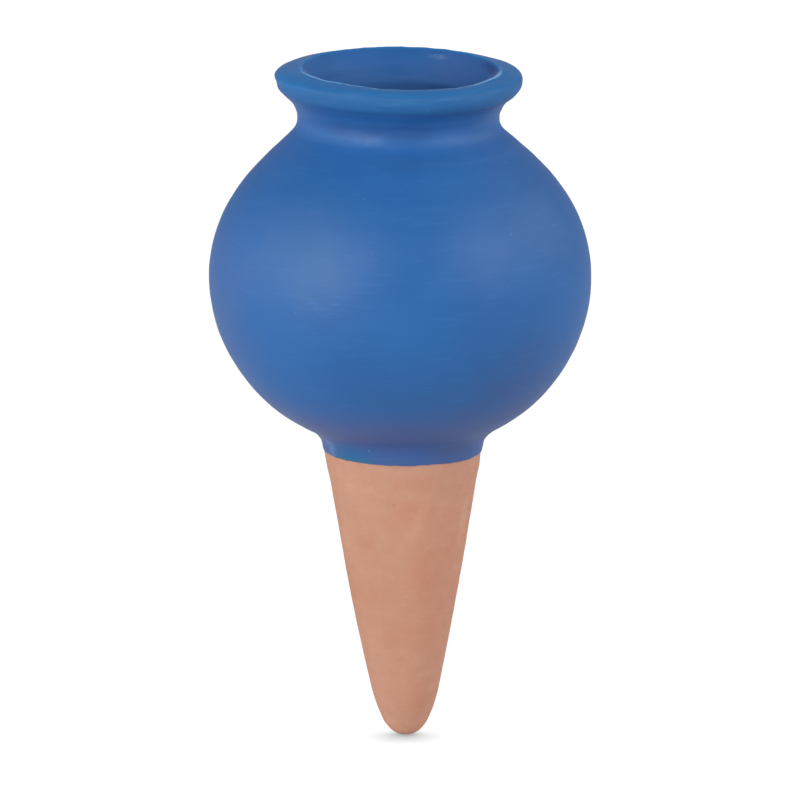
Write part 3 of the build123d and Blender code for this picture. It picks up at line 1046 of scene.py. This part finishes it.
# %% Turn the seven pieces
slot_of_node = {part["node"]: part["material_slot"] for part in frame["record"]["subparts"]}
input_names = {
    item.name: item.identifier for item in wheel.interface.items_tree if item.in_out == "INPUT"
}
collection = bpy.context.scene.collection
at_axis = 0.01                            # millimetres from the axis
shaved_depth = 0.06 * MM
pieces = {}
for name, runs in sections.items():
    points = np.vstack(runs)
    if points[0, 0] > at_axis:
        points = np.vstack([points, points[:1]])
    mesh = bpy.data.meshes.new(f"{name}_section")
    mesh.from_pydata([(radius * MM, 0, height * MM) for radius, height in points], [], [])
    for mark, values in ring_marks(points, in_mouth=name == "mouth_paint_coat").items():
        mesh.attributes.new(mark, "FLOAT", "POINT").data.foreach_set("value", values)
    piece = bpy.data.objects.new(f"{name}_turned", mesh)
    collection.objects.link(piece)
    modifier = piece.modifiers.new("potters_wheel", "NODES")
    modifier.node_group = wheel
    slot = slot_of_node[name]
    modifier[input_names["Material"]] = finishes[slot]
    if slot != "blue_paint":
        for edge_mark in ("Tilt", "Wander", "Tears"):
            modifier[input_names[f"Paint Edge {edge_mark}"]] = 0.0
    if slot == "bare_terracotta":
        modifier[input_names["Shaved Facets"]] = shaved_depth
    evaluated = piece.evaluated_get(bpy.context.evaluated_depsgraph_get())
    piece.data = bpy.data.meshes.new_from_object(evaluated)
    piece.data.name = f"{name}_turned"
    piece.data.materials.clear()          # the grid brings an empty first slot
    piece.data.materials.append(finishes[slot])
    piece.modifiers.clear()
    bpy.data.meshes.remove(mesh)
    pieces[name] = piece
print(f"{len(pieces)} pieces turned")

# %% Say what each piece stands for, and measure it
for name, piece in pieces.items():
    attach(piece, "root")
    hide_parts(name)
    triangles = sum(len(face.vertices) - 2 for face in piece.data.polygons)
    print(f"{piece.name}: {triangles} triangles, material {piece.data.materials[0].name}")

# %% [markdown]
# ## Floor
# The object stands on its tip on white paper, which the camera sees as plain white with a short soft shadow.
# More light would bleach the paint as well. So the paper glows by itself, for the camera and a little in the
# paint's gloss, only as white as white. The glow is held back where the object closes off the light, which
# makes the shadow.

# %% Floor of white paper
floor_half = 6.0                          # metres, half of the floor's width
floor_level = cad_low.z
floor_mesh = bpy.data.meshes.new("studio_floor")
floor_corners = [(-1, -1), (1, -1), (1, 1), (-1, 1)]
floor_points = [(x * floor_half, y * floor_half, floor_level) for x, y in floor_corners]
floor_mesh.from_pydata(floor_points, [], [(0, 1, 2, 3)])
floor = bpy.data.objects.new("studio_floor", floor_mesh)
collection.objects.link(floor)
print(f"floor at {floor_level / MM:.1f} mm, under the tip")

# %% Glow and shadow of the paper
paper_glow = 1.0                          # for the camera, on top of the light that falls on the paper
gloss_share = 0.15                        # part of that glow that shows in the gloss of the paint
shadow_reach = 11 * MM
shadow_from = (0.0, 0.64, 0.77)           # most of the light that the object closes off is from behind
full_shadow, no_shadow = -0.31, 0.80      # openness at which the paper would be black, and is white
white_paper, paper_tree, paper_shader = new_material("white_studio_paper")
paper_shader.inputs["Roughness"].default_value = 0.9
paper_shader.inputs["Specular IOR Level"].default_value = 0.0
paper_rays = add_node(paper_tree, "ShaderNodeLightPath").outputs
paper_tone = add_node(paper_tree, "ShaderNodeMix", {
    0: paper_rays["Is Camera Ray"], 6: linear("#DCDCDA"), 7: linear("#3A3A3A"),
}, data_type="RGBA")
paper_tree.links.new(paper_tone.outputs[2], paper_shader.inputs["Base Color"])
seen = add_node(paper_tree, "ShaderNodeMath", {
    0: paper_rays["Is Glossy Ray"], 1: gloss_share,
}, operation="MULTIPLY")
for ray in ("Is Camera Ray", "Is Transmission Ray"):
    seen = add_node(paper_tree, "ShaderNodeMath", {0: seen, 1: paper_rays[ray]}, operation="MAXIMUM")
toward_light = add_node(paper_tree, "ShaderNodeCombineXYZ", dict(zip("XYZ", shadow_from)))
open_sky = add_node(paper_tree, "ShaderNodeAmbientOcclusion", {
    "Distance": shadow_reach, "Normal": toward_light,
}, samples=8)
lit_paper = add_node(paper_tree, "ShaderNodeMapRange", {
    "Value": open_sky.outputs["AO"], "From Min": full_shadow, "From Max": no_shadow, "To Max": paper_glow,
})
glow = add_node(paper_tree, "ShaderNodeMath", {0: seen, 1: lit_paper}, operation="MULTIPLY")
paper_shader.inputs["Emission Color"].default_value = (1, 1, 1, 1)
paper_tree.links.new(glow.outputs[0], paper_shader.inputs["Emission Strength"])
floor_mesh.materials.append(white_paper)
print(f"{white_paper.name}: shadow within {shadow_reach / MM:.0f} mm")

# %% [markdown]
# ## Light
# Soft boxes stand round the object in a pale room. The broad, weak reflections of the three in front are the
# clouds of light on the globe. Two more light its edges, and one behind it gives the back its colour in other
# views. A ready-made studio picture could light it too, but lamps are plain and can be named and moved.

# %% The pale room
world_fill = 0.30                         # what the room gives the object, besides the soft boxes
world = bpy.data.worlds.new("white_studio")
world.use_nodes = True
background = world.node_tree.nodes["Background"]
background.inputs["Color"].default_value = (1, 1, 1, 1)
room_rays = add_node(world.node_tree, "ShaderNodeLightPath").outputs
room = add_node(world.node_tree, "ShaderNodeMapRange", {
    "Value": room_rays["Is Camera Ray"], "To Min": world_fill,
})
world.node_tree.links.new(room.outputs[0], background.inputs["Strength"])
bpy.context.scene.world = world
bpy.context.scene.view_settings.view_transform = "Standard"
print(f"room of strength {world_fill}, and white for the camera")

# %% Soft boxes
box_across, box_away = 0.7, 1.2           # metres
# Name, degrees right of the camera, degrees up, watts, and whether it shows in gloss
soft_boxes = [
    ("left_soft_box", -50, 11, 7.0, True),
    ("left_top_box", -25, 32, 3.1, True),
    ("right_soft_box", 58, 27, 6.4, True),
    ("right_rim_box", 106, 24, 2.5, True),
    ("left_rim_box", -100, 8, 2.1, True),
    ("back_fill_box", 180, 10, 4.6, False),
]
for name, around, up, watts, in_gloss in soft_boxes:
    lamp = bpy.data.lights.new(name, "AREA")
    lamp.shape = "DISK"
    lamp.size = box_across
    lamp.energy = watts
    soft_box = bpy.data.objects.new(name, lamp)
    soft_box.visible_glossy = in_gloss
    turn_right, rise = math.radians(around), math.radians(up)
    from_aim = Vector((
        math.sin(turn_right) * math.cos(rise), -math.cos(turn_right) * math.cos(rise), math.sin(rise),
    ))
    soft_box.location = aim + box_away * from_aim
    soft_box.rotation_euler = from_aim.to_track_quat("Z", "Y").to_euler()
    collection.objects.link(soft_box)
    print(f"{name}: {watts} W, {around} degrees right, {up} up")
